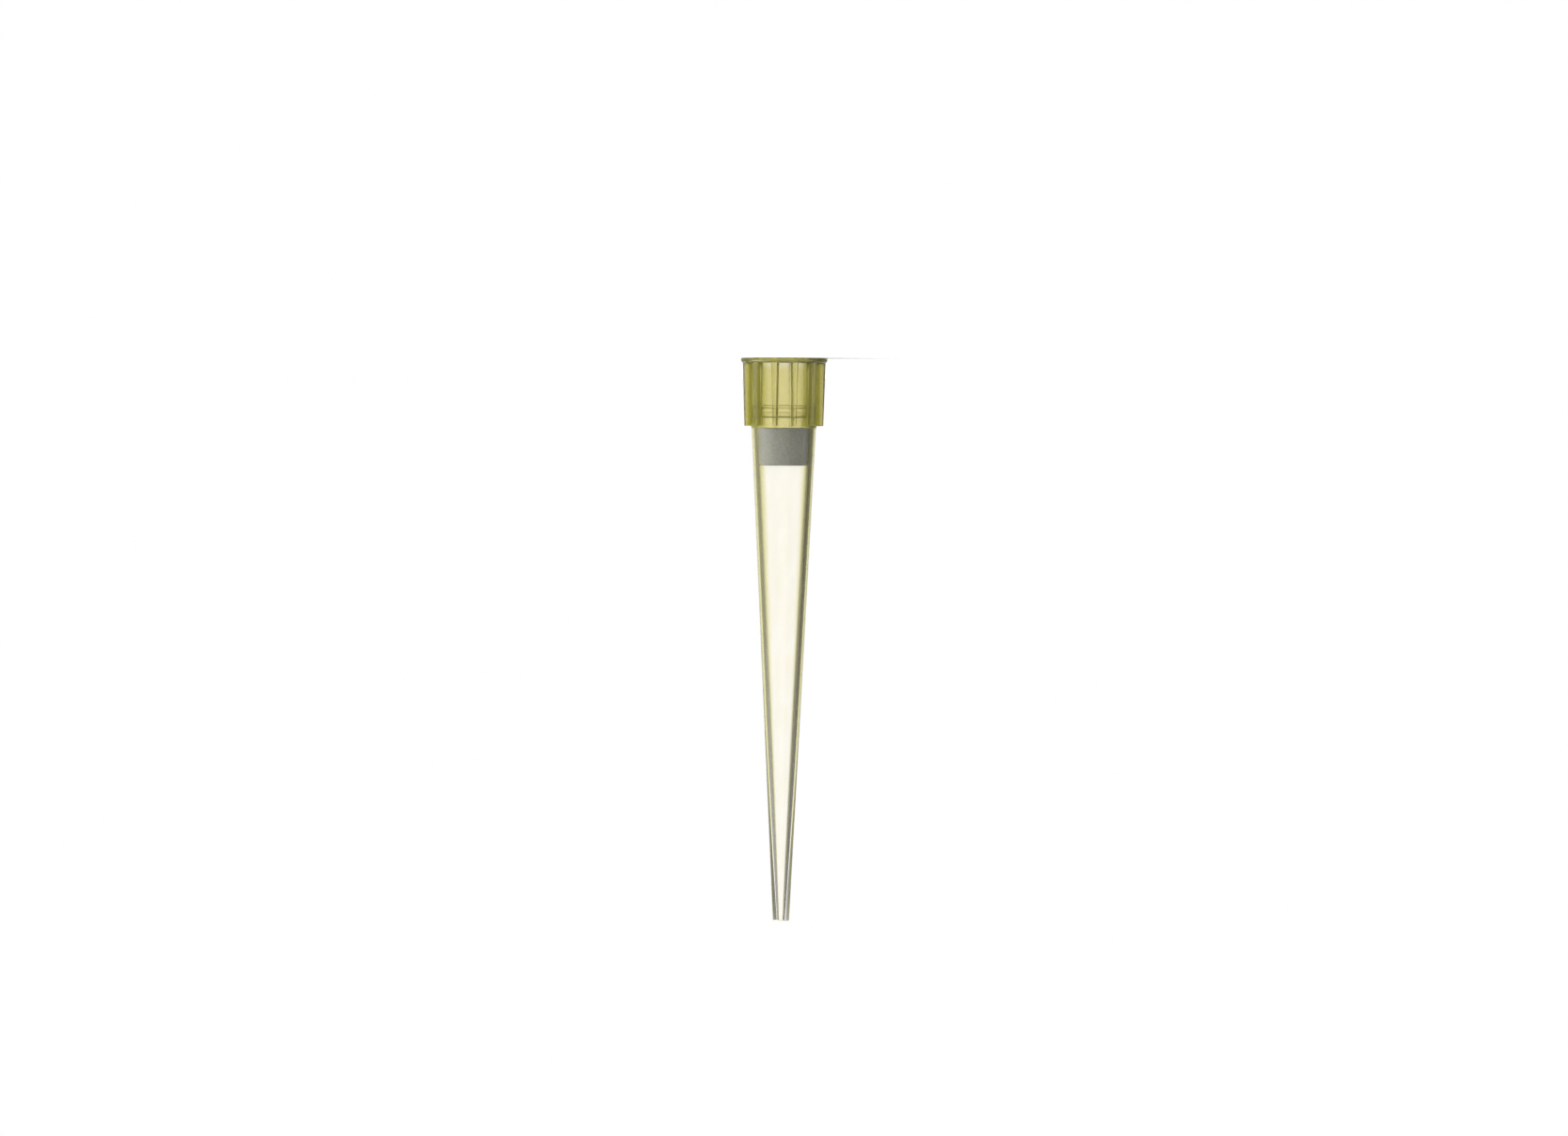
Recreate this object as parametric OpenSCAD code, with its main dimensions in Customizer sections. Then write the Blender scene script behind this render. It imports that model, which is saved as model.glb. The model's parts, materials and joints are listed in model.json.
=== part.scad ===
// Filter pipette tip of the 200 microlitre class.
// It stands on its mouth rim: Z runs along the axis, from the mouth at 0 up to the orifice.
// The tip is one moulding. The filter is a plug of sintered beads, wedged in the tapered bore.

/* [Overall] */
// Length from the mouth rim to the orifice
total_len = 50; // [40:0.5:59]

/* [Collar] */
// Diameter of the flange round the mouth
flange_d = 7.74; // [7.5:0.02:8.4]
// Thickness of the flange
flange_h = 0.43; // [0.3:0.01:0.8]
// Rounding of the flange's edge, on the side of the ribs
flange_round = 0.25; // [0.05:0.01:0.28]
// Height of the collar, from the mouth rim to the ends of the ribs
collar_h = 6.02; // [5.8:0.02:8]
// Diameter of the collar's wall at the mouth, between the ribs
core_d_mouth = 6.15; // [6.1:0.01:6.4]
// Diameter of the collar's wall past the ends of the ribs
core_d_end = 5.85; // [5.8:0.01:6.05]
// How far the collar's wall runs on past the ends of the ribs
lip_h = 0.21; // [0.1:0.01:0.6]
// Step in from the lip to the barrel, which is also the lip's rounding
lip_step = 0.05; // [0.02:0.01:0.08]

/* [Ribs] */
// Number of grip ribs round the collar
rib_count = 12; // [8:2:20]
// How far the ribs stand out from the collar's wall
rib_h = 0.66; // [0.3:0.01:0.7]
// Width of a rib where it stands on the flange
rib_w_foot = 0.52; // [0.4:0.01:0.9]
// Width of a rib at its free end
rib_w_end = 0.31; // [0.25:0.01:0.5]

/* [Socket] */
// Diameter of the straight land that grips the pipette's nozzle
socket_d = 5.3; // [5.1:0.01:5.4]
// Diameter of the mouth, where the lead-in starts
mouth_d = 5.7; // [5.5:0.01:5.9]
// Depth of the lead-in
lead_in_h = 1.2; // [0.5:0.05:2]
// Depth of the socket, down to its inner chamfer
socket_depth = 4.85; // [4.6:0.05:5.2]
// Length of the inner chamfer
chamfer_h = 0.47; // [0.2:0.01:0.6]
// How far the inner chamfer closes in
chamfer_w = 0.12; // [0.05:0.01:0.16]
// Height of the sealing bead inside the socket
bead_h = 0.07; // [0.03:0.005:0.1]
// Length of the sealing bead along the axis
bead_len = 0.3; // [0.2:0.01:0.4]
// Distance from the inner chamfer back to the middle of the sealing bead
bead_back = 0.5; // [0.4:0.01:1]
// How far the socket closes in behind the sealing bead
neck_w = 0.02; // [0.01:0.005:0.04]

/* [Barrel] */
// Thickness of the barrel's wall next to the collar
barrel_wall = 0.5; // [0.4:0.01:0.55]
// Outer diameter of the barrel at the orifice
point_d = 1.44; // [1:0.02:2]
// Diameter of the orifice
orifice_d = 0.47; // [0.3:0.01:0.8]
// Rounding of the outer edge at the orifice
point_round = 0.08; // [0.03:0.01:0.15]

/* [Filter] */
// Distance from the bore's shoulder to the filter
filter_drop = 0.87; // [0.3:0.01:3]
// Length of the filter
filter_len = 3.35; // [2:0.05:8]
// Chamfer on both ends of the filter
filter_chamfer = 0.06; // [0.02:0.01:0.2]
// Room between the filter and the bore
filter_gap = 0.015; // [0.01:0.005:0.05]

/* [Hidden] */
$fn = 128;

// Cuts run past the faces that they open by this much
past = 1;

// Levels along the axis
lip_z = collar_h + lip_h;
shoulder_z = socket_depth + chamfer_h;
bead_z = socket_depth - bead_back;
land_z = bead_z - bead_len / 2;
filter_z0 = shoulder_z + filter_drop;
filter_z1 = filter_z0 + filter_len;

// Radii at the two ends of the barrel, outside and inside
barrel_r0 = core_d_end / 2 - lip_step;
barrel_r1 = point_d / 2;
bore_r0 = barrel_r0 - barrel_wall;
bore_r1 = orifice_d / 2;
socket_r = socket_d / 2;

// The bead's section is an arc as long and as high as stated
bead_r = (bead_len * bead_len / 4 + bead_h * bead_h) / (2 * bead_h);

// Radius of a straight taper at height z, from radius r0 at z0 to radius r1 at z1
function taper(z, z0, r0, z1, r1) = r0 + (r1 - r0) * (z - z0) / (z1 - z0);

// Radius of the bore past the shoulder, at height z
function bore_at(z) = taper(z, lip_z, bore_r0, total_len, bore_r1);

// Radius of the collar's wall between the ribs, at height z
function core_at(z) = taper(z, 0, core_d_mouth / 2, collar_h, core_d_end / 2);

// Half section of the flange: its edge on the rib side is a quarter round
module flange_section() {
    square([flange_d / 2, flange_h - flange_round]);
    square([flange_d / 2 - flange_round, flange_h]);
    intersection() {
        translate([flange_d / 2 - flange_round, flange_h - flange_round])
            circle(r = flange_round);
        square([flange_d / 2, flange_h]);
    }
}

// Half section of the collar's wall, with the lip past the ribs rounded down to the barrel
module core_section() {
    polygon([
        [0, 0],
        [core_at(0), 0],
        [core_at(collar_h), collar_h],
        [core_at(collar_h), lip_z - lip_step],
        [barrel_r0, lip_z - lip_step],
        [0, lip_z - lip_step]
    ]);
    square([barrel_r0, lip_z]);
    translate([barrel_r0, lip_z - lip_step]) circle(r = lip_step);
}

// Half section of the barrel, one straight taper from the lip to the orifice
module barrel_section() {
    edge_z = total_len - point_round;
    edge_r = taper(edge_z, lip_z, barrel_r0, total_len, barrel_r1);
    polygon([
        [0, collar_h],
        [barrel_r0, collar_h],
        [barrel_r0, lip_z],
        [edge_r, edge_z],
        [edge_r - point_round, total_len],
        [0, total_len]
    ]);
    intersection() {
        translate([edge_r - point_round, edge_z]) circle(r = point_round);
        square([edge_r, total_len]);
    }
}

// The ribs' outer faces lie on a ring that has the draft of the collar's wall
module rib_section() {
    polygon([
        [0, 0],
        [core_at(0) + rib_h, 0],
        [core_at(collar_h) + rib_h, collar_h],
        [0, collar_h]
    ]);
}

// One rib as a bar along X, rooted in the collar's wall and narrower towards its free end
module rib_bar() {
    translate([socket_r, 0, 0]) rotate([90, 0, 90]) linear_extrude(height = flange_d / 2)
        polygon([
            [-rib_w_foot / 2, flange_h],
            [rib_w_foot / 2, flange_h],
            [rib_w_end / 2, collar_h],
            [-rib_w_end / 2, collar_h]
        ]);
}

// The gap between two ribs faces the front
module ribs() {
    pitch = 360 / rib_count;
    intersection() {
        rotate_extrude() rib_section();
        for (i = [0 : rib_count - 1])
            rotate(-90 + (i + 0.5) * pitch) rib_bar();
    }
}

// Everything that is hollow: lead-in, straight land, sealing bead, chamfer, shoulder and bore
module hollow_section() {
    difference() {
        polygon([
            [0, 0],
            [mouth_d / 2, 0],
            [socket_r, lead_in_h],
            [socket_r, land_z],
            [socket_r - neck_w, socket_depth],
            [socket_r - neck_w - chamfer_w, shoulder_z],
            [0, shoulder_z]
        ]);
        translate([socket_r - bead_h + bead_r, bead_z]) circle(r = bead_r);
    }
    translate([0, -past]) square([mouth_d / 2, past]);
    polygon([
        [0, shoulder_z - chamfer_h],
        [bore_at(shoulder_z), shoulder_z - chamfer_h],
        [bore_at(shoulder_z), shoulder_z],
        [bore_r1, total_len],
        [bore_r1, total_len + past],
        [0, total_len + past]
    ]);
}

// The moulded tip: flange, ribbed collar and barrel, hollow from end to end
module tip_body() {
    color("khaki") difference() {
        union() {
            rotate_extrude() union() {
                flange_section();
                core_section();
                barrel_section();
            }
            ribs();
        }
        rotate_extrude() hollow_section();
    }
}

// The filter follows the bore's taper all along, with its two ends chamfered
module filter_plug() {
    r0 = bore_at(filter_z0) - filter_gap;
    r1 = bore_at(filter_z1) - filter_gap;
    color("darkgray") rotate_extrude() polygon([
        [0, filter_z0],
        [r0 - filter_chamfer, filter_z0],
        [r0, filter_z0 + filter_chamfer],
        [r1, filter_z1 - filter_chamfer],
        [r1 - filter_chamfer, filter_z1],
        [0, filter_z1]
    ]);
}

tip_body();
filter_plug();
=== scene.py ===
# %% [markdown]
# # A filter pipette tip
#
# The object is a disposable tip for a laboratory pipette. It has two pieces: one
# moulding of translucent yellow polypropylene, and a grey plug of sintered plastic
# beads that filters the air. The tip stands on its mouth, with the narrow end up.
#
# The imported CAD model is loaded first. It is the fixed frame: every size that it
# holds is read from it. Both of its nodes get a smooth mesh in their place, because
# clear plastic bends light and shows each facet of a coarse mesh.

import json
import math

import bmesh
import bpy
from mathutils import Matrix, Vector, noise


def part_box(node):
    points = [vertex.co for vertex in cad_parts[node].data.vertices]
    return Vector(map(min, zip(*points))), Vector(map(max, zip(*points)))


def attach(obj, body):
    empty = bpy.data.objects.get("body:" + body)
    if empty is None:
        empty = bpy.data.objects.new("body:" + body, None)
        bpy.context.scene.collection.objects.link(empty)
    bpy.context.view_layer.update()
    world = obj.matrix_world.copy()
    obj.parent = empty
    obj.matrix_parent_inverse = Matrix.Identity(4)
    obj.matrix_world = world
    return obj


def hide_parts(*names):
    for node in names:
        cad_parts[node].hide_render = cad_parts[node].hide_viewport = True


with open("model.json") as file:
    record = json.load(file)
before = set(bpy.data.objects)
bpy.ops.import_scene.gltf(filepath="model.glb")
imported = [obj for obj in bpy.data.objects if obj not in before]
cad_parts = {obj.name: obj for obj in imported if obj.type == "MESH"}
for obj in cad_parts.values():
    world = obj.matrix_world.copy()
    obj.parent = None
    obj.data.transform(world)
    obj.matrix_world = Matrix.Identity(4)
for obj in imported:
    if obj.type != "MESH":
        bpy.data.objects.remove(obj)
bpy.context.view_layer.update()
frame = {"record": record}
MM = 0.001

# %% [markdown]
# ## Sizes
#
# The frame gives the outer size of the moulding, the place of the filter, the land
# that grips the nozzle and the height of the collar. Reading them, and not writing
# them again, keeps the dressed piece on the CAD piece.

# %% Sizes from the frame
tip_low, tip_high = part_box("tip_body")
plug_low, plug_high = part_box("filter_plug")
mounts = {mount["name"]: mount for mount in frame["record"]["mounts"]}
socket = mounts["nozzle_socket"]

tip_length = tip_high.z
flange_radius = tip_high.x
collar_height = mounts["rack_shoulder"]["pos_m"][2]
land_radius = socket["dims"]["r_mm"] * MM
land_middle = socket["pos_m"][2]
land_start = land_middle - socket["dims"]["length_mm"] * MM / 2
land_end = land_middle + socket["dims"]["length_mm"] * MM / 2
print(f"length {tip_length / MM:.2f} mm, collar {collar_height / MM:.2f} mm")

# %% [markdown]
# No mount holds the small sizes, such as the ribs' width or the sealing bead. They
# are named here in millimetres, with the values that the mould has.

# %% Sizes of the collar, outside
flange_height = 0.43 * MM
flange_round = 0.25 * MM
core_radius_mouth = 3.075 * MM
core_radius_end = 2.925 * MM
lip_height = 0.21 * MM
lip_step = 0.05 * MM
rib_count = 12
rib_height = 0.66 * MM
rib_width_foot = 0.52 * MM
rib_width_end = 0.31 * MM
lip_top = collar_height + lip_height
print(f"ribs: {rib_count}, lip ends at {lip_top / MM:.2f} mm")

# %% Sizes of the socket and the barrel
mouth_radius = 2.85 * MM
lead_in_height = 1.2 * MM
bead_height = 0.07 * MM
bead_length = 0.3 * MM
neck_step = 0.02 * MM
socket_depth = 4.85 * MM
chamfer_height = 0.47 * MM
edge_step = 0.03 * MM
barrel_wall = 0.5 * MM
point_radius = 0.72 * MM
point_round = 0.08 * MM
orifice_radius = 0.235 * MM
shoulder = socket_depth + chamfer_height
barrel_radius = core_radius_end - lip_step
bore_radius = barrel_radius - barrel_wall
print(f"socket ends at {shoulder / MM:.2f} mm, bore starts {2 * bore_radius / MM:.2f} mm wide")

# %% [markdown]
# A moulded wall is never quite straight. It has draft, a slight taper that lets the
# part slide off its steel. The collar, the barrel and the bore each have their own,
# so a short function gives the radius of each at any height.


# %% Tapers
def taper(z, z0, r0, z1, r1):
    """Radius at height z of a straight taper from r0 at z0 to r1 at z1."""
    return r0 + (r1 - r0) * (z - z0) / (z1 - z0)


def core_at(z):
    """Radius of the collar's wall between the ribs."""
    return taper(z, 0, core_radius_mouth, collar_height, core_radius_end)


def barrel_at(z):
    """Outer radius of the barrel."""
    return taper(z, lip_top, barrel_radius, tip_length, point_radius)


def bore_at(z):
    """Radius of the tapered bore."""
    return taper(z, lip_top, bore_radius, tip_length, orifice_radius)


print(f"bore at the filter: {bore_at(plug_low.z) / MM:.3f} mm in radius")

# %% [markdown]
# ## The moulding
#
# A tip mould is turned on a lathe and its ribs are then eroded into the cavity. The
# mesh is made the same way: one half section is spun round the axis, and the ribs
# are lifted out of the collar's wall afterwards. A cylinder with cuts would do for
# the outline, but not for the arcs that catch the light.
#
# The section is a closed loop, because the tip is open from end to end. It runs up
# the outside from the mouth to the point, and back down the bore. Its round
# stretches are arcs.


# %% Outer line of the half section
flange_arc_steps = 6
lip_arc_steps = 4
point_arc_steps = 5
barrel_steps = 12


def arc(centre_r, centre_z, radius, start_deg, end_deg, steps):
    """Points of an arc in the half section, in (radius, height)."""
    points = []
    for i in range(steps + 1):
        a = math.radians(start_deg + (end_deg - start_deg) * i / steps)
        points.append((centre_r + radius * math.cos(a), centre_z + radius * math.sin(a)))
    return points


def outer_line():
    """The outside of the half section, from the mouth to the point."""
    rib_foot = core_at(flange_height) + rib_height
    flange_turn = math.degrees(math.acos(1 - (flange_radius - rib_foot) / flange_round))
    flange_edge = arc(flange_radius - flange_round, flange_height - flange_round,
                      flange_round, 0, flange_turn, flange_arc_steps)
    lip_edge = arc(barrel_radius, lip_top - lip_step, lip_step, 0, 80, lip_arc_steps)
    edge_z = tip_length - point_round
    point_edge = arc(barrel_at(edge_z) - point_round, edge_z,
                     point_round, 0, 90, point_arc_steps)
    line = [(flange_radius, 0), *flange_edge[:-1], (rib_foot, flange_height)]
    line += [(core_at(flange_height), flange_height), (core_at(collar_height), collar_height)]
    line += lip_edge
    for i in range(1, barrel_steps):
        z = lip_top + (edge_z - lip_top) * i / barrel_steps
        line.append((barrel_at(z), z))
    return line + point_edge


outside_points = outer_line()
print("points outside:", len(outside_points))

# %% [markdown]
# The inside was formed by a core pin. Past the filter it is one long taper. The
# socket ends in a rounded shoulder and a small edge step, which show through the
# collar as two dark lines. The sealing bead is a low arc that stands proud of the
# land, as long and as high as its two sizes say.


# %% Inner line of the half section
shoulder_steps = 8
bore_steps = 10
bead_steps = 6


def shoulder_curve():
    """The round shoulder from the bore down to the socket's edge step."""
    start_z = socket_depth + edge_step
    width = land_radius - neck_step - edge_step - bore_at(shoulder)
    points = []
    for i in range(1, shoulder_steps + 1):
        turn = math.radians(90 - 90 * i / shoulder_steps)
        points.append((bore_at(shoulder) + width * math.cos(turn),
                       start_z + (shoulder - start_z) * math.sin(turn)))
    return points


def bead_arc():
    """The sealing bead, from its inner end towards the mouth."""
    radius = (bead_length ** 2 / 4 + bead_height ** 2) / (2 * bead_height)
    half_angle = math.degrees(math.asin(bead_length / 2 / radius))
    return arc(land_radius - bead_height + radius, land_end + bead_length / 2,
               radius, 180 - half_angle, 180 + half_angle, bead_steps)


def inner_line():
    """The bore and the socket, from the orifice back to the mouth."""
    line = [(orifice_radius, tip_length)]
    for i in range(1, bore_steps):
        z = tip_length + (plug_high.z - tip_length) * i / bore_steps
        line.append((bore_at(z), z))
    line += [(bore_at(z), z) for z in (plug_high.z, plug_low.z, shoulder)]
    line += shoulder_curve()
    line += [(land_radius - neck_step, socket_depth)]
    line += bead_arc()
    line += [(land_radius, land_start), (mouth_radius, 0)]
    return line


section = outside_points + inner_line()
print("points in the half section:", len(section))

# %% [markdown]
# The spin has sixteen columns for each rib and the gap beside it: four for the rib
# and twelve for the gap. The first column starts at the front, in the middle of a
# gap, so the ribs' edges fall on columns all the way round.

# %% Spin the section
columns_per_pitch = 16
columns_per_rib = 4
columns = rib_count * columns_per_pitch
seam_distance = 1e-8


def spun(points, steps, closed):
    """A bmesh of the half section spun round the axis, from the front."""
    bm = bmesh.new()
    verts = [bm.verts.new((0, -r, z)) for r, z in points]
    edges = [bm.edges.new(pair) for pair in zip(verts, verts[1:])]
    if closed:
        edges.append(bm.edges.new((verts[-1], verts[0])))
    bmesh.ops.spin(bm, geom=verts + edges, cent=(0, 0, 0), axis=(0, 0, 1), dvec=(0, 0, 0),
                   angle=math.tau, steps=steps, use_merge=True)
    bmesh.ops.remove_doubles(bm, verts=bm.verts, dist=seam_distance)
    bmesh.ops.recalc_face_normals(bm, faces=bm.faces)
    return bm


body = spun(section, columns, closed=True)
print("faces after the spin:", len(body.faces))


# %% [markdown]
# The ribs are narrow fins with wide gaps between them. They could be separate bars,
# but clear plastic would show the wall between a bar and the collar. So the wall's
# own faces in a rib's columns are found first, to be lifted.


# %% Find the ribs' faces
tiny = 1e-7
hair = 0.01 * MM
wall_slack = 0.02 * MM
rib_top_at_foot = core_at(flange_height) + rib_height


def radius_of(point):
    """Distance of a point from the tip's axis."""
    return math.hypot(point.x, point.y)


def column_of(face):
    """The place of a face's column within its pitch, from 0 at the middle of a gap."""
    centre = face.calc_center_median()
    angle = math.atan2(centre.x, -centre.y) % (math.tau / rib_count)
    return angle / math.tau * rib_count * columns_per_pitch


def on_rib(face):
    """True if a face lies in a rib's columns and not in a gap's."""
    return abs(column_of(face) - columns_per_pitch / 2) < columns_per_rib / 2


def is_collar_wall(face):
    """True for the outside of the collar's wall, past the flange."""
    centre = face.calc_center_median()
    in_height = flange_height < centre.z < collar_height
    return in_height and abs(radius_of(centre) - core_at(centre.z)) < wall_slack


pads = [f for f in body.faces if is_collar_wall(f) and on_rib(f)]
print("faces to lift:", len(pads))

# %% [markdown]
# The faces are extruded and moved straight out by the ribs' height. That leaves a
# hidden face where each rib's foot lies on the flange. Both layers there are
# deleted and the edges merged, so the plastic is one body as on the real tip. No
# open edge may be left, because light would leak through it.


# %% Lift the ribs
def is_foot(face):
    """True for the hidden faces between a rib's foot and the flange."""
    level = all(abs(v.co.z - flange_height) < tiny for v in face.verts)
    return level and on_rib(face) and all(radius_of(v.co) < rib_top_at_foot + tiny for v in face.verts)


lifted = bmesh.ops.extrude_face_region(body, geom=pads)["geom"]
bmesh.ops.delete(body, geom=pads, context="FACES")
for vert in [g for g in lifted if isinstance(g, bmesh.types.BMVert)]:
    outward = Vector((vert.co.x, vert.co.y, 0)).normalized()
    vert.co += outward * rib_height

foot = [f for f in body.faces if is_foot(f)]
bmesh.ops.delete(body, geom=foot, context="FACES")
bmesh.ops.remove_doubles(body, verts=body.verts, dist=tiny)
bmesh.ops.recalc_face_normals(body, faces=body.faces)
print("foot faces removed:", len(foot))
print("open edges:", sum(1 for e in body.edges if len(e.link_faces) != 2))

# %% [markdown]
# The spin gave the ribs flanks that point at the axis. A real rib has flat flanks
# that close in towards its free end, so that the mould lets go of it. So each
# vertex in a rib's columns slides round the axis until its distance from the rib's
# middle plane is its share of the rib's width at that height.


# %% Give the ribs their width
column_slack = 0.1


def is_in_collar(point):
    """True for a point on the outside of the collar or its ribs."""
    in_height = flange_height - tiny < point.z < collar_height + tiny
    return in_height and core_at(collar_height) - hair < radius_of(point) < rib_top_at_foot + tiny


def set_rib_width(bm):
    """Slides the ribs' vertices to their width and returns how many moved."""
    pitch = math.tau / rib_count
    half_columns = columns_per_rib / 2
    moved = 0
    for vert in bm.verts:
        angle = math.atan2(vert.co.x, -vert.co.y)
        middle = (math.floor(angle / pitch) + 0.5) * pitch
        columns_off = (angle - middle) / (pitch / columns_per_pitch)
        if not is_in_collar(vert.co) or abs(columns_off) > half_columns + column_slack:
            continue
        r = radius_of(vert.co)
        width = taper(vert.co.z, flange_height, rib_width_foot, collar_height, rib_width_end)
        new_angle = middle + math.asin(columns_off / half_columns * width / 2 / r)
        vert.co.x = r * math.sin(new_angle)
        vert.co.y = -r * math.cos(new_angle)
        moved += 1
    return moved


print("rib vertices moved:", set_rib_width(body))

# %% [markdown]
# Moulded plastic has no knife edges. The ribs' edges get a rounding of a few
# hundredths of a millimetre, which is what catches the thin bright and dark lines
# along them. Only edges that turn sharply, from the flange to the ribs' ends, are
# taken, so the spun surfaces keep their own arcs.

# %% Round the ribs' edges
edge_round = 0.04 * MM
edge_segments = 3
sharp_turn = math.radians(40)


def is_rib_edge(edge):
    """True for the sharp edges outside the collar."""
    if len(edge.link_faces) != 2 or edge.calc_face_angle(0) < sharp_turn:
        return False
    middle = (edge.verts[0].co + edge.verts[1].co) / 2
    in_height = flange_height - tiny < middle.z < collar_height + tiny
    return in_height and radius_of(middle) > core_at(collar_height) - hair


rib_edges = [e for e in body.edges if is_rib_edge(e)]
bmesh.ops.bevel(body, geom=rib_edges, offset=edge_round, offset_type="OFFSET",
                affect="EDGES", segments=edge_segments, profile=0.5, material=-1,
                clamp_overlap=True)
print("edges rounded:", len(rib_edges), "faces now:", len(body.faces))

# %% [markdown]
# The finished bmesh becomes an object that rides on the part's one body and stands
# for its CAD node. A Weighted Normal modifier keeps the flat faces flat where they
# run into the small roundings, so light bends cleanly.


# %% Make the moulding an object
def make_piece(bm, name, node):
    """Turns a bmesh into a smooth piece that stands for a CAD node."""
    mesh = bpy.data.meshes.new(name)
    bm.to_mesh(mesh)
    bm.free()
    mesh.shade_smooth()
    piece = bpy.data.objects.new(name, mesh)
    bpy.context.scene.collection.objects.link(piece)
    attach(piece, "root")
    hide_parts(node)
    return piece


moulding = make_piece(body, "moulded_tip", "tip_body")
moulding.data.set_sharp_from_angle(angle=math.radians(38))
weighted = moulding.modifiers.new("even_normals", "WEIGHTED_NORMAL")
weighted.mode = "FACE_AREA"
weighted.keep_sharp = True
print("moulding:", len(moulding.data.polygons), "faces")

# %% [markdown]
# ## The filter
#
# The filter is made of small plastic beads that are heated until they stick, and
# then pushed into the bore. It follows the bore's taper and its two ends are
# chamfered. The plug is spun from a section that is divided about as finely as its
# beads, because the next step shapes its skin.

# %% Spin the filter plug
grain = 0.09 * MM
plug_chamfer = 0.06 * MM
plug_columns = 168
plug_gap = bore_at(plug_low.z) - plug_high.x


def plug_section():
    """Half section of the plug, from the middle of one end to the middle of the other."""
    low_r = bore_at(plug_low.z) - plug_gap
    high_r = bore_at(plug_high.z) - plug_gap
    rings = round(low_r / grain)
    rows = round((plug_high.z - plug_low.z) / grain)
    points = [(low_r * i / rings, plug_low.z) for i in range(rings)]
    points.append((low_r - plug_chamfer, plug_low.z))
    for i in range(1, rows):
        z = plug_low.z + (plug_high.z - plug_low.z) * i / rows
        points.append((taper(z, plug_low.z, low_r, plug_high.z, high_r), z))
    points.append((high_r - plug_chamfer, plug_high.z))
    points += [(high_r * i / rings, plug_high.z) for i in reversed(range(rings))]
    return points


plug = spun(plug_section(), plug_columns, closed=False)
plug.normal_update()
print("faces on the plug:", len(plug.faces))

# %% [markdown]
# Between the beads the skin has shallow pits. A Voronoi noise has cells like packed
# beads, and its distance to the nearest cell's middle is the depth of the pit. A
# little fractal noise makes the pits uneven. The skin only goes inward, so the plug
# never touches the bore round it.

# %% Pit the filter's skin
bead_size = 0.16 * MM
pit_depth = 0.012 * MM
cell_share = 0.8
cell_gain = 1.1
patch_size = 3 * bead_size


def pit_at(point):
    """How far the skin sinks at a point, from 0 to 1."""
    distances, _ = noise.voronoi(point / bead_size)
    rough = abs(noise.fractal(point / patch_size, 1.0, 2.0, 3))
    return min(1.0, distances[0] * cell_gain) * cell_share + (1 - cell_share) * min(1.0, rough)


for vert in plug.verts:
    vert.co -= vert.normal * pit_depth * pit_at(vert.co)

filter_piece = make_piece(plug, "sintered_filter", "filter_plug")
print(f"pits up to {pit_depth / MM:.3f} mm deep")

# %% [markdown]
# ## Materials
#
# Every material is a Principled shader with a few nodes in front of it. Four short
# helpers make those nodes: a Map Range that turns one range of a value smoothly
# into another, a Math node, a colour mix, and a noise on Object coordinates, which
# stay on the piece when it moves.


# %% Helpers for values
def map_range(tree, value, low, high, to_low, to_high):
    """A Map Range node that turns one range of a value smoothly into another."""
    node = tree.nodes.new("ShaderNodeMapRange")
    node.interpolation_type = "SMOOTHSTEP"
    for name, number in (("From Min", low), ("From Max", high),
                         ("To Min", to_low), ("To Max", to_high)):
        node.inputs[name].default_value = number
    tree.links.new(value, node.inputs["Value"])
    return node.outputs["Result"]


def maths(tree, operation, a, b=None, clamp=False):
    """A Math node on sockets or numbers."""
    node = tree.nodes.new("ShaderNodeMath")
    node.operation = operation
    node.use_clamp = clamp
    for i, value in enumerate((a, b)):
        if value is None:
            continue
        if isinstance(value, (int, float)):
            node.inputs[i].default_value = value
        else:
            tree.links.new(value, node.inputs[i])
    return node.outputs["Value"]


def object_point(tree):
    """A socket with the place on the piece, in its own coordinates."""
    return tree.nodes.new("ShaderNodeTexCoord").outputs["Object"]


def object_noise(tree, scale, detail, roughness=0.5, stretch=(1, 1, 1)):
    """A noise value in the piece's own coordinates, stretched along its axes."""
    mapping = tree.nodes.new("ShaderNodeMapping")
    mapping.inputs["Scale"].default_value = stretch
    node = tree.nodes.new("ShaderNodeTexNoise")
    node.inputs["Scale"].default_value = scale
    node.inputs["Detail"].default_value = detail
    node.inputs["Roughness"].default_value = roughness
    tree.links.new(object_point(tree), mapping.inputs["Vector"])
    tree.links.new(mapping.outputs["Vector"], node.inputs["Vector"])
    return node.outputs["Fac"]


# %% Helpers for colours and materials
def mix_colour(tree, factor, first, second):
    """A colour mix from first to second by a factor socket."""
    node = tree.nodes.new("ShaderNodeMix")
    node.data_type = "RGBA"
    tree.links.new(factor, node.inputs["Factor"])
    for name, colour in (("A", first), ("B", second)):
        if isinstance(colour, tuple):
            node.inputs[name].default_value = (*colour, 1)
        else:
            tree.links.new(colour, node.inputs[name])
    return node.outputs["Result"]


def new_material(name):
    """A material with an empty node tree, a Principled shader and an output."""
    material = bpy.data.materials.new(name)
    material.use_nodes = True
    tree = material.node_tree
    tree.nodes.clear()
    output = tree.nodes.new("ShaderNodeOutputMaterial")
    shader = tree.nodes.new("ShaderNodeBsdfPrincipled")
    tree.links.new(shader.outputs["BSDF"], output.inputs["Surface"])
    return material, tree, shader
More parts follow.
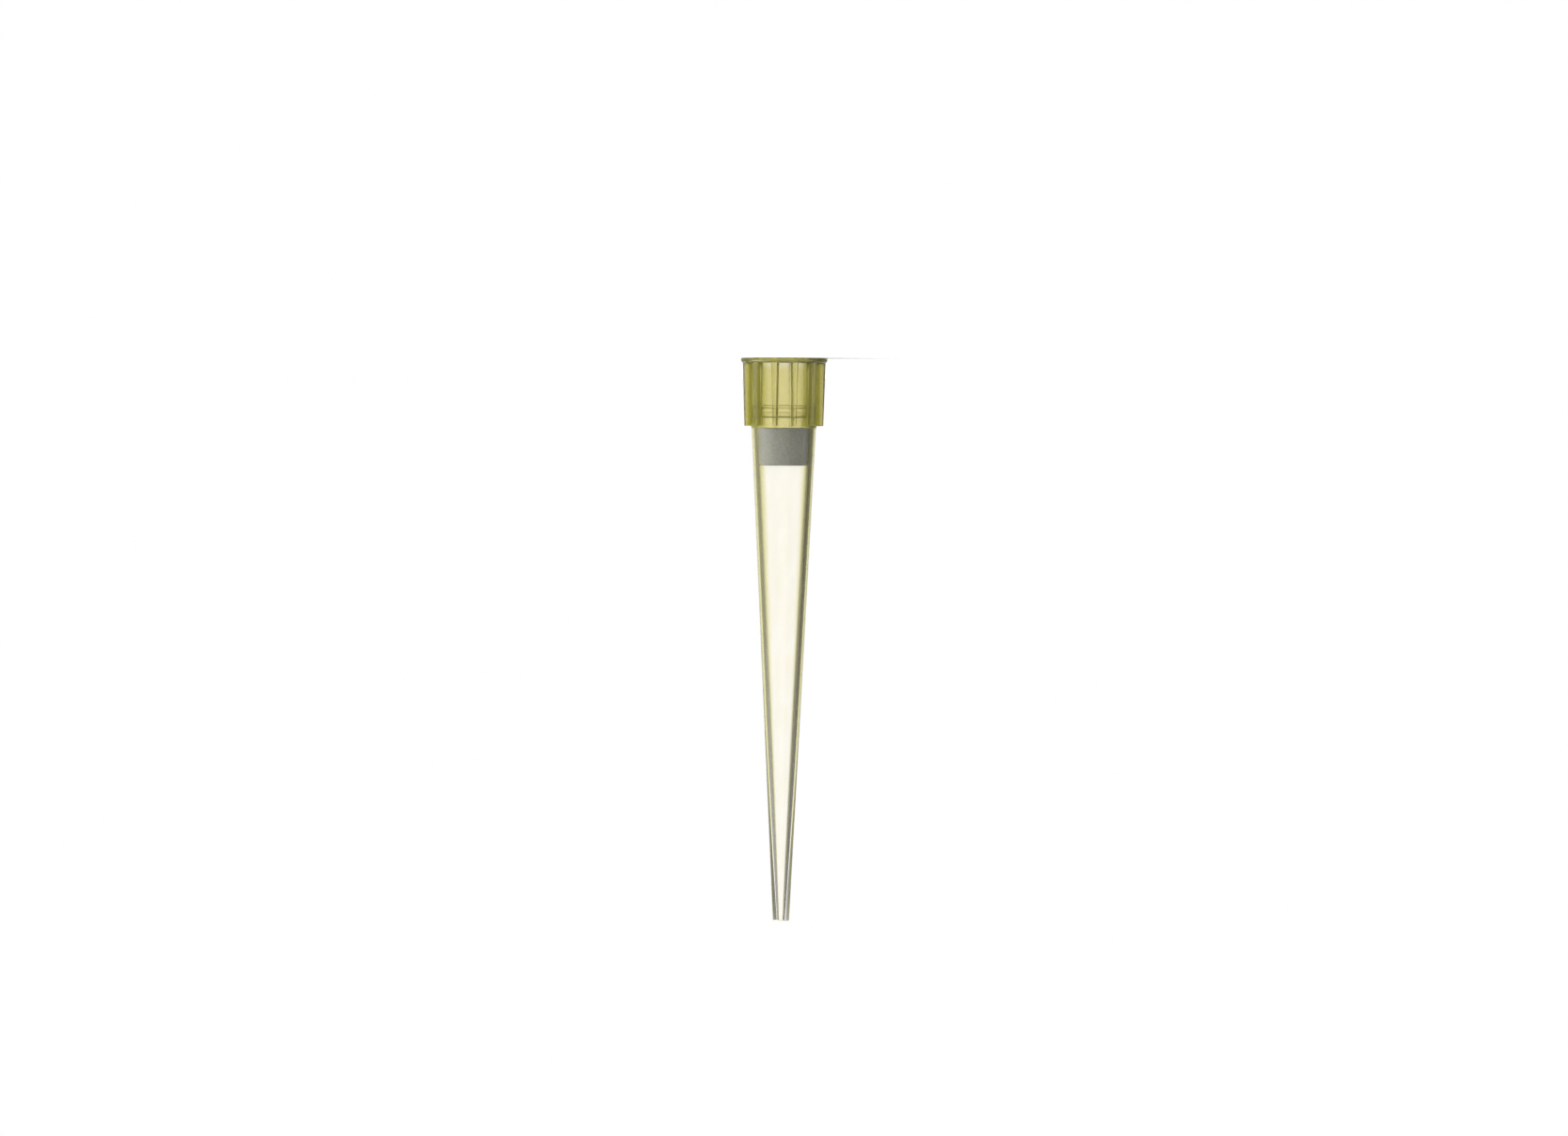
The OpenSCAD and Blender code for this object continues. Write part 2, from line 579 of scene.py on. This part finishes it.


# %% [markdown]
# Polypropylene passes light but scatters a little of it, and its yellow comes from
# a small amount of pigment. The longer the light runs inside the plastic, the
# deeper the colour. A volume would do that on its own, but one closed mesh holds
# one volume, and the collar is far deeper than the barrel. So the colour is put on
# the surface, where glass takes its base colour as a tint.
#
# All the plastic finishes share one effect, so a node group holds it: an edge mask
# mixes a pale tint into a deep one, which is partly the deeper colour of a long path
# and partly painted shade that darkens the edges, and a stretched noise adds the
# faint cloudiness that flow leaves in a moulding. Each finish gives the group its own colours.

# %% Node group for tinted plastic
cloud_depth = 0.1
haze_low = 0.8
haze_high = 1.2


def make_tint_group():
    """A group that turns an edge mask, two tints and a haze into colour and roughness; the deep tint
    is partly painted edge shade.
    """
    group = bpy.data.node_groups.new("plastic_tint", "ShaderNodeTree")
    sockets = (("Edge", "INPUT", "NodeSocketFloat"), ("Pale", "INPUT", "NodeSocketColor"),
               ("Deep and shaded", "INPUT", "NodeSocketColor"), ("Haze", "INPUT", "NodeSocketFloat"),
               ("Colour", "OUTPUT", "NodeSocketColor"), ("Roughness", "OUTPUT", "NodeSocketFloat"))
    for name, direction, kind in sockets:
        group.interface.new_socket(name, in_out=direction, socket_type=kind)
    start = group.nodes.new("NodeGroupInput")
    end = group.nodes.new("NodeGroupOutput")
    flow = object_noise(group, scale=700, detail=3.0, roughness=0.55, stretch=(1, 1, 0.35))
    cloud = map_range(group, flow, 0.3, 0.75, 0.0, cloud_depth)
    # This mask drives the deep tint, which is partly painted shade at the edges.
    edge = maths(group, "ADD", start.outputs["Edge"], cloud, clamp=True)
    colour = mix_colour(group, edge, start.outputs["Pale"], start.outputs["Deep and shaded"])
    group.links.new(colour, end.inputs["Colour"])
    uneven = map_range(group, flow, 0.25, 0.75, haze_low, haze_high)
    roughness = maths(group, "MULTIPLY", start.outputs["Haze"], uneven)
    group.links.new(roughness, end.inputs["Roughness"])
    return group


tint_group = make_tint_group()
print("nodes in the tint group:", len(tint_group.nodes))

# %% [markdown]
# Two places need more than the edge mask. At a rib's root the flank is deep and it
# is pale further out: light runs on into the wall there, and the deep tint is also
# painted shade in the crease between the rib and the wall. Under the flange the
# socket's lead-in thins the collar's wall, so the wall is paler there, and the pale
# band also paints a highlight under the flange. Both masks come from the place on
# the piece: one from its distance to the axis, and the other from its height.

# %% Masks for the painted shade at the rib's root and the pale band at the mouth
root_shade_fade = 0.2 * MM


def root_shade_mask(tree):
    """A mask of painted shade that is 1 at the ribs' roots and fades out halfway up their height."""
    flatten = tree.nodes.new("ShaderNodeVectorMath")
    flatten.operation = "MULTIPLY"
    flatten.inputs[1].default_value = (1, 1, 0)
    tree.links.new(object_point(tree), flatten.inputs[0])
    radius = tree.nodes.new("ShaderNodeVectorMath")
    radius.operation = "LENGTH"
    tree.links.new(flatten.outputs["Vector"], radius.inputs[0])
    half_way = core_radius_mouth + rib_height / 2
    return map_range(tree, radius.outputs["Value"], half_way - root_shade_fade, half_way, 1, 0)


def thin_wall_highlight_mask(tree):
    """A mask that is 1 at the flange and fades out where the socket's lead-in ends; it gives the
    thinner wall's paler tint and a painted highlight.
    """
    split = tree.nodes.new("ShaderNodeSeparateXYZ")
    tree.links.new(object_point(tree), split.inputs["Vector"])
    return map_range(tree, split.outputs["Z"], flange_height, lead_in_height, 1, 0)


print(f"the lead-in's pale band is {(lead_in_height - flange_height) / MM:.2f} mm high")

# %% [markdown]
# Layer Weight's Facing value is 0 where a surface is seen straight on and 1 where
# it is seen on edge. Seen on edge, light has run a long way inside the wall, and
# the deep tint there is partly that longer path's colour and partly painted shade
# that darkens the edges. So the mask starts and ends at two of its values. The
# refraction is polypropylene's, and the share of light that passes is high, with
# the rest scattered as by a pale body.

# %% Moulded plastic
refraction = 1.49
surface_shine = 0.15


def moulded_plastic(name, pale, deep_tint_and_shade, edge, haze=0.17, clearness=0.88, shaded_root=False, thin_and_lit=None):
    """A clear plastic that turns from a pale to a deep tint where it is seen on edge, partly a long
    path's colour and partly painted edge shade.
    """
    material, tree, shader = new_material(name)
    weight = tree.nodes.new("ShaderNodeLayerWeight")
    tint = tree.nodes.new("ShaderNodeGroup")
    tint.node_tree = tint_group
    tint.inputs["Pale"].default_value = (*pale, 1)
    tint.inputs["Deep and shaded"].default_value = (*deep_tint_and_shade, 1)
    tint.inputs["Haze"].default_value = haze
    # Seen on edge the tint deepens: partly the longer path, partly painted edge shade.
    edge_tint_and_shade = map_range(tree, weight.outputs["Facing"], *edge, 0, 1)
    # The band under the flange is paler for the thinner wall and is also a painted highlight.
    if thin_and_lit:
        tree.links.new(mix_colour(tree, thin_wall_highlight_mask(tree), pale, thin_and_lit), tint.inputs["Pale"])
    # The ribs' roots are painted deep, as shade in the crease.
    if shaded_root:
        edge_tint_and_shade = maths(tree, "MAXIMUM", edge_tint_and_shade, root_shade_mask(tree))
    tree.links.new(edge_tint_and_shade, tint.inputs["Edge"])
    tree.links.new(tint.outputs["Colour"], shader.inputs["Base Color"])
    tree.links.new(tint.outputs["Roughness"], shader.inputs["Roughness"])
    shader.inputs["IOR"].default_value = refraction
    shader.inputs["Specular IOR Level"].default_value = surface_shine
    shader.inputs["Transmission Weight"].default_value = clearness
    return material


# %% [markdown]
# The collar was moulded against an eroded steel surface, so it is hazy. Its flange
# is solid to the rim and has the deepest tint, the ribs' crests come next, and the
# wall between them is the palest. The barrel was moulded against polished steel, so
# it is clear and nearly colourless. The end at the orifice is where the steel parts
# met, and it is duller.

# %% The six plastic finishes
# Each deep tint is partly the colour of a long path and partly painted shade at the edges.
collar_plastic = moulded_plastic("hazy_yellow_plastic", pale=(0.85, 0.77, 0.35),
                                 deep_tint_and_shade=(0.5, 0.49, 0.09), edge=(0.0, 0.28),
                                 clearness=0.82, thin_and_lit=(1.0, 0.97, 0.78))
flange_plastic = moulded_plastic("flange_plastic", pale=(0.54, 0.51, 0.1),
                                 deep_tint_and_shade=(0.21, 0.205, 0.035), edge=(0.1, 0.6))
crest_plastic = moulded_plastic("rib_crest_plastic", pale=(0.74, 0.67, 0.22),
                                deep_tint_and_shade=(0.3, 0.285, 0.08), edge=(0.05, 0.36))
flank_plastic = moulded_plastic("rib_flank_plastic", pale=(0.79, 0.74, 0.42),
                                deep_tint_and_shade=(0.58, 0.56, 0.17), edge=(0.15, 0.5), shaded_root=True)
barrel_plastic = moulded_plastic("clear_yellow_plastic", pale=(1.0, 0.985, 0.945),
                                 deep_tint_and_shade=(0.76, 0.71, 0.24), edge=(0.2, 0.5),
                                 haze=0.03, clearness=0.98)
end_plastic = moulded_plastic("cut_end_plastic", pale=(0.93, 0.9, 0.78),
                              deep_tint_and_shade=(0.8, 0.76, 0.42), edge=(0.3, 0.8),
                              haze=0.35, clearness=0.55)
finishes = (flange_plastic, collar_plastic, crest_plastic, flank_plastic, barrel_plastic,
            end_plastic)
print("plastic finishes:", len(finishes))

# %% [markdown]
# The filter's beads are grey. Two noises make the colour: a fine one for the beads'
# grain, whose low spots are darker as painted shade in the pores between them, and a
# broader one for places that were pressed harder. The fine one also lifts and sinks
# the surface a little, through a Bump node, so the painted shade falls where the
# surface sinks. Only one material needs the grain, so it stays in the material.

# %% Sintered beads
pore_shade_grey = (0.325, 0.34, 0.365)
bead_grey = (0.465, 0.48, 0.51)
bead_share = 0.85
grain_relief = 0.02 * MM
grain_strength = 0.35
bead_roughness = 0.85


def sintered_beads():
    """A matt material whose colour and relief come from a fine grain, with painted shade in the
    grain's low spots.
    """
    material, tree, shader = new_material("sintered_beads")
    beads = object_noise(tree, scale=6500, detail=2.0, roughness=0.6)
    patches = object_noise(tree, scale=1800, detail=3.0, roughness=0.6)
    blend = maths(tree, "ADD", map_range(tree, beads, 0.3, 0.7, 0, bead_share),
                  map_range(tree, patches, 0.3, 0.7, 0, 1 - bead_share))
    tree.links.new(mix_colour(tree, blend, pore_shade_grey, bead_grey), shader.inputs["Base Color"])
    bump = tree.nodes.new("ShaderNodeBump")
    bump.inputs["Strength"].default_value = grain_strength
    bump.inputs["Distance"].default_value = grain_relief
    tree.links.new(beads, bump.inputs["Height"])
    tree.links.new(bump.outputs["Normal"], shader.inputs["Normal"])
    shader.inputs["Roughness"].default_value = bead_roughness
    return material


filter_piece.data.materials.append(sintered_beads())
print("filter material:", filter_piece.data.materials[0].name)

# %% [markdown]
# The moulding's faces choose their finish by their place and by the way they face.
# One mesh with six materials keeps the plastic closed, so light still passes
# through one body. Inside, the bead's slopes and the shoulder take the crest's
# deeper tint: light crosses them on a slant, and the tint also paints shade into
# the dark lines they show through the collar. The rest of the inside and the
# barrel take the clear finish.


# %% Which finish a face has
bore_wall_reach = 0.1 * MM
steep_slope = 0.3
facing_out = 0.7


def is_outside(face):
    """True for the outer skin, and False for the socket and the bore."""
    z = face.center.z
    middle_of_wall = (mouth_radius + core_radius_end) / 2
    if z > lip_top:
        middle_of_wall = bore_at(z) + bore_wall_reach
    return radius_of(face.center) > middle_of_wall


def rib_finish(face):
    """The crest's finish for faces that look outward, and the flank's for the rest."""
    outward = Vector((face.center.x, face.center.y, 0)).normalized()
    return crest_plastic if face.normal.dot(outward) > facing_out else flank_plastic


def finish_of(face):
    """The finish for a face of the moulding."""
    z = face.center.z
    if not is_outside(face):
        # The bead's slopes and the shoulder get the crest's deeper tint: partly a slanted path, partly
        # painted shade.
        steep = land_end - tiny < z < shoulder + tiny and abs(face.normal.z) > steep_slope
        return crest_plastic if steep else barrel_plastic
    if z > tip_length - point_round - tiny:
        return end_plastic
    if z > lip_top:
        return barrel_plastic
    if z < flange_height + tiny:
        return flange_plastic
    on_a_rib = z < collar_height + tiny and radius_of(face.center) > core_at(z) + wall_slack
    return rib_finish(face) if on_a_rib else collar_plastic


# %% Give each face its finish
for material in finishes:
    moulding.data.materials.append(material)

counts = {material.name: 0 for material in finishes}
for face in moulding.data.polygons:
    material = finish_of(face)
    face.material_index = finishes.index(material)
    counts[material.name] += 1
print("faces with each finish:", counts)

# %% [markdown]
# ## Stage, light and camera
#
# The tip stands on a plain white floor. The floor lies a hair below the mouth, so
# that the two faces don't share a plane. To the camera it glows a little, which
# keeps it white behind the object without more light on the object, and seen
# through the plastic it glows less, so that the barrel keeps its tint. Light Path
# tells which ray is looking.

# %% Floor
floor_gap = 0.02 * MM
floor_radius = 120 * MM
floor_sides = 96
floor_mesh = bpy.data.meshes.new("floor")
bm = bmesh.new()
bmesh.ops.create_circle(bm, cap_ends=True, segments=floor_sides, radius=floor_radius)
bmesh.ops.translate(bm, verts=bm.verts, vec=(0, 0, -floor_gap))
bm.to_mesh(floor_mesh)
bm.free()
floor = bpy.data.objects.new("floor", floor_mesh)
bpy.context.scene.collection.objects.link(floor)
print(f"floor: {2 * floor_radius / MM:.0f} mm across")

# %% Floor paint
glow_to_camera = 0.35
glow_through_plastic = 0.04


def glossy_or_passing(path):
    """A Light Path's mask for rays that a surface mirrors or lets through."""
    return maths(path.id_data, "MAXIMUM", path.outputs["Is Glossy Ray"],
                 path.outputs["Is Transmission Ray"])


def floor_paint():
    """A matt white that glows a little to the camera."""
    material, tree, shader = new_material("white_floor")
    shader.inputs["Base Color"].default_value = (0.9, 0.9, 0.9, 1)
    shader.inputs["Roughness"].default_value = 0.9
    shader.inputs["Specular IOR Level"].default_value = 0.0
    shader.inputs["Emission Color"].default_value = (1, 1, 1, 1)
    path = tree.nodes.new("ShaderNodeLightPath")
    seen_through = maths(tree, "MULTIPLY", glossy_or_passing(path), glow_through_plastic)
    seen_by_camera = maths(tree, "MULTIPLY", path.outputs["Is Camera Ray"], glow_to_camera)
    glow = maths(tree, "MAXIMUM", seen_through, seen_by_camera)
    tree.links.new(glow, shader.inputs["Emission Strength"])
    return material


floor.data.materials.append(floor_paint())
print("floor material:", floor.data.materials[0].name)

# %% [markdown]
# Clear plastic has no look of its own: it shows what stands round it. A studio puts
# a bright panel behind such an object and leaves the sides darker, which draws the
# dark edges that make a tube readable. The world does the same by direction: bright
# panels in front, behind and at both sides, greyer between them, and pale above and
# below. Rays from the floor and from matt surfaces see a plain gradient instead,
# brighter on one side, which shades the filter. The camera sees white.

# %% Levels of the surroundings
panel_shift = 0.03
front_panel_edge = (0.26, 0.51)
side_panel_edge = (0.06, 0.22)
panel_level = 1.05
between_levels = (0.14, 0.3)
between_reach = 0.7
rear_edge = (-0.25, -0.05)
rear_level = 0.85
top_edge = (0.15, 0.5)
top_level = 0.8
floor_edge = (-0.2, -0.08)
floor_level = 1.0
plain_edge = (0.1, 1.0)
plain_levels = (0.08, 2.7)
print("between the panels:", between_levels, "panels:", panel_level)


# %% World
def blend_to(tree, value, target, mask):
    """Moves a value towards a target number where a mask is 1."""
    step = maths(tree, "MULTIPLY", mask, maths(tree, "SUBTRACT", target, value))
    return maths(tree, "ADD", value, step)


def panel_mask(tree, x, y):
    """A mask that is 1 in the directions of the four bright panels."""
    flat = maths(tree, "ADD", maths(tree, "MULTIPLY", x, x), maths(tree, "MULTIPLY", y, y))
    flat = maths(tree, "MAXIMUM", maths(tree, "SQRT", flat), 1e-6)
    sideways = maths(tree, "SUBTRACT", maths(tree, "DIVIDE", x, flat), panel_shift)
    forward = maths(tree, "DIVIDE", maths(tree, "ABSOLUTE", y), flat)
    front = map_range(tree, maths(tree, "ABSOLUTE", sideways), *front_panel_edge, 1, 0)
    return maths(tree, "MAXIMUM", front, map_range(tree, forward, *side_panel_edge, 1, 0))


def surroundings(tree, x, y, z):
    """How bright the studio is in a direction, as clear plastic shows it."""
    level = map_range(tree, x, -between_reach, between_reach, *between_levels)
    level = blend_to(tree, level, rear_level, map_range(tree, y, *rear_edge, 1, 0))
    level = blend_to(tree, level, panel_level, panel_mask(tree, x, y))
    level = blend_to(tree, level, top_level, map_range(tree, z, *top_edge, 0, 1))
    return blend_to(tree, level, floor_level, map_range(tree, z, *floor_edge, 1, 0))


def studio_world():
    """A world that is white to the camera and shows clear plastic its surroundings."""
    world = bpy.data.worlds.new("studio")
    bpy.context.scene.world = world
    world.use_nodes = True
    tree = world.node_tree
    tree.nodes.clear()
    output = tree.nodes.new("ShaderNodeOutputWorld")
    background = tree.nodes.new("ShaderNodeBackground")
    background.inputs["Color"].default_value = (1, 1, 1, 1)
    tree.links.new(background.outputs["Background"], output.inputs["Surface"])
    coordinates = tree.nodes.new("ShaderNodeTexCoord")
    split = tree.nodes.new("ShaderNodeSeparateXYZ")
    tree.links.new(coordinates.outputs["Generated"], split.inputs["Vector"])
    x, y, z = (split.outputs[axis] for axis in "XYZ")
    path = tree.nodes.new("ShaderNodeLightPath")
    untouched = maths(tree, "LESS_THAN", path.outputs["Diffuse Depth"], 0.5)
    shiny = maths(tree, "MULTIPLY", glossy_or_passing(path), untouched)
    plain = map_range(tree, x, *plain_edge, *plain_levels)
    plain = maths(tree, "MULTIPLY", maths(tree, "SUBTRACT", 1, shiny), plain)
    light = maths(tree, "ADD", maths(tree, "MULTIPLY", shiny, surroundings(tree, x, y, z)), plain)
    camera_ray = path.outputs["Is Camera Ray"]
    light = maths(tree, "MULTIPLY", maths(tree, "SUBTRACT", 1, camera_ray), light)
    tree.links.new(maths(tree, "ADD", camera_ray, light), background.inputs["Strength"])
    return world


print("nodes in the world:", len(studio_world().node_tree.nodes))

# %% [markdown]
# Two soft lamps add what the world doesn't: a key from one side, which rounds the
# filter and gives the floor its shadow, and a weak one from above for the flange
# and the end of the barrel. They are large and weak, so nothing clips to white.

# %% Lamps
lamp_size = 0.5
key_place = (0.55, 0.0, 0.40)
key_watts = 3.0
top_place = (0.0, 0.0, 0.6)
top_watts = 0.8


def soft_lamp(name, place, watts):
    """A square area lamp that faces the middle of the tip."""
    lamp = bpy.data.lights.new(name, "AREA")
    lamp.size = lamp_size
    lamp.energy = watts
    holder = bpy.data.objects.new(name, lamp)
    bpy.context.scene.collection.objects.link(holder)
    aim = Vector((0, 0, tip_length / 2)) - Vector(place)
    holder.rotation_euler = aim.to_track_quat("-Z", "Y").to_euler()
    holder.location = place
    print(f"lamp {name}: {watts} W")


soft_lamp("key", key_place, key_watts)
soft_lamp("top", top_place, top_watts)

# %% [markdown]
# The camera looks level at the tip from far away, so that its sides stay straight.
# A tip is usually shown with its mouth on top, and here it stands on its mouth. So
# the camera is rolled by half a turn and a little more, because the tip leans a
# third of a degree, and it stands a degree to one side of the gap between two ribs.
# The lens follows from the width of the view and the distance.

# %% Camera
view_width = 139.37 * MM
camera_distance = 1.1
camera_turn = math.radians(1.3)
camera_roll = math.radians(180.33)
middle_height = 18.65 * MM
middle_offset = -0.095 * MM

camera_data = bpy.data.cameras.new("camera")
camera_data.sensor_width = 36
camera_data.lens = camera_data.sensor_width * camera_distance / view_width
camera_data.clip_start = 0.01
camera_data.clip_end = 10
camera = bpy.data.objects.new("camera", camera_data)
bpy.context.scene.collection.objects.link(camera)
back = Vector((math.sin(camera_turn), -math.cos(camera_turn), 0))
target = Vector((middle_offset, 0, middle_height))
camera.location = target + back * camera_distance
level = (-back).to_track_quat("-Z", "Y")
camera.rotation_mode = "QUATERNION"
camera.rotation_quaternion = level @ Matrix.Rotation(camera_roll, 3, "Z").to_quaternion()
bpy.context.scene.camera = camera
bpy.context.scene.view_settings.view_transform = "Standard"
print(f"lens {camera_data.lens:.0f} mm, {camera_distance} m away")
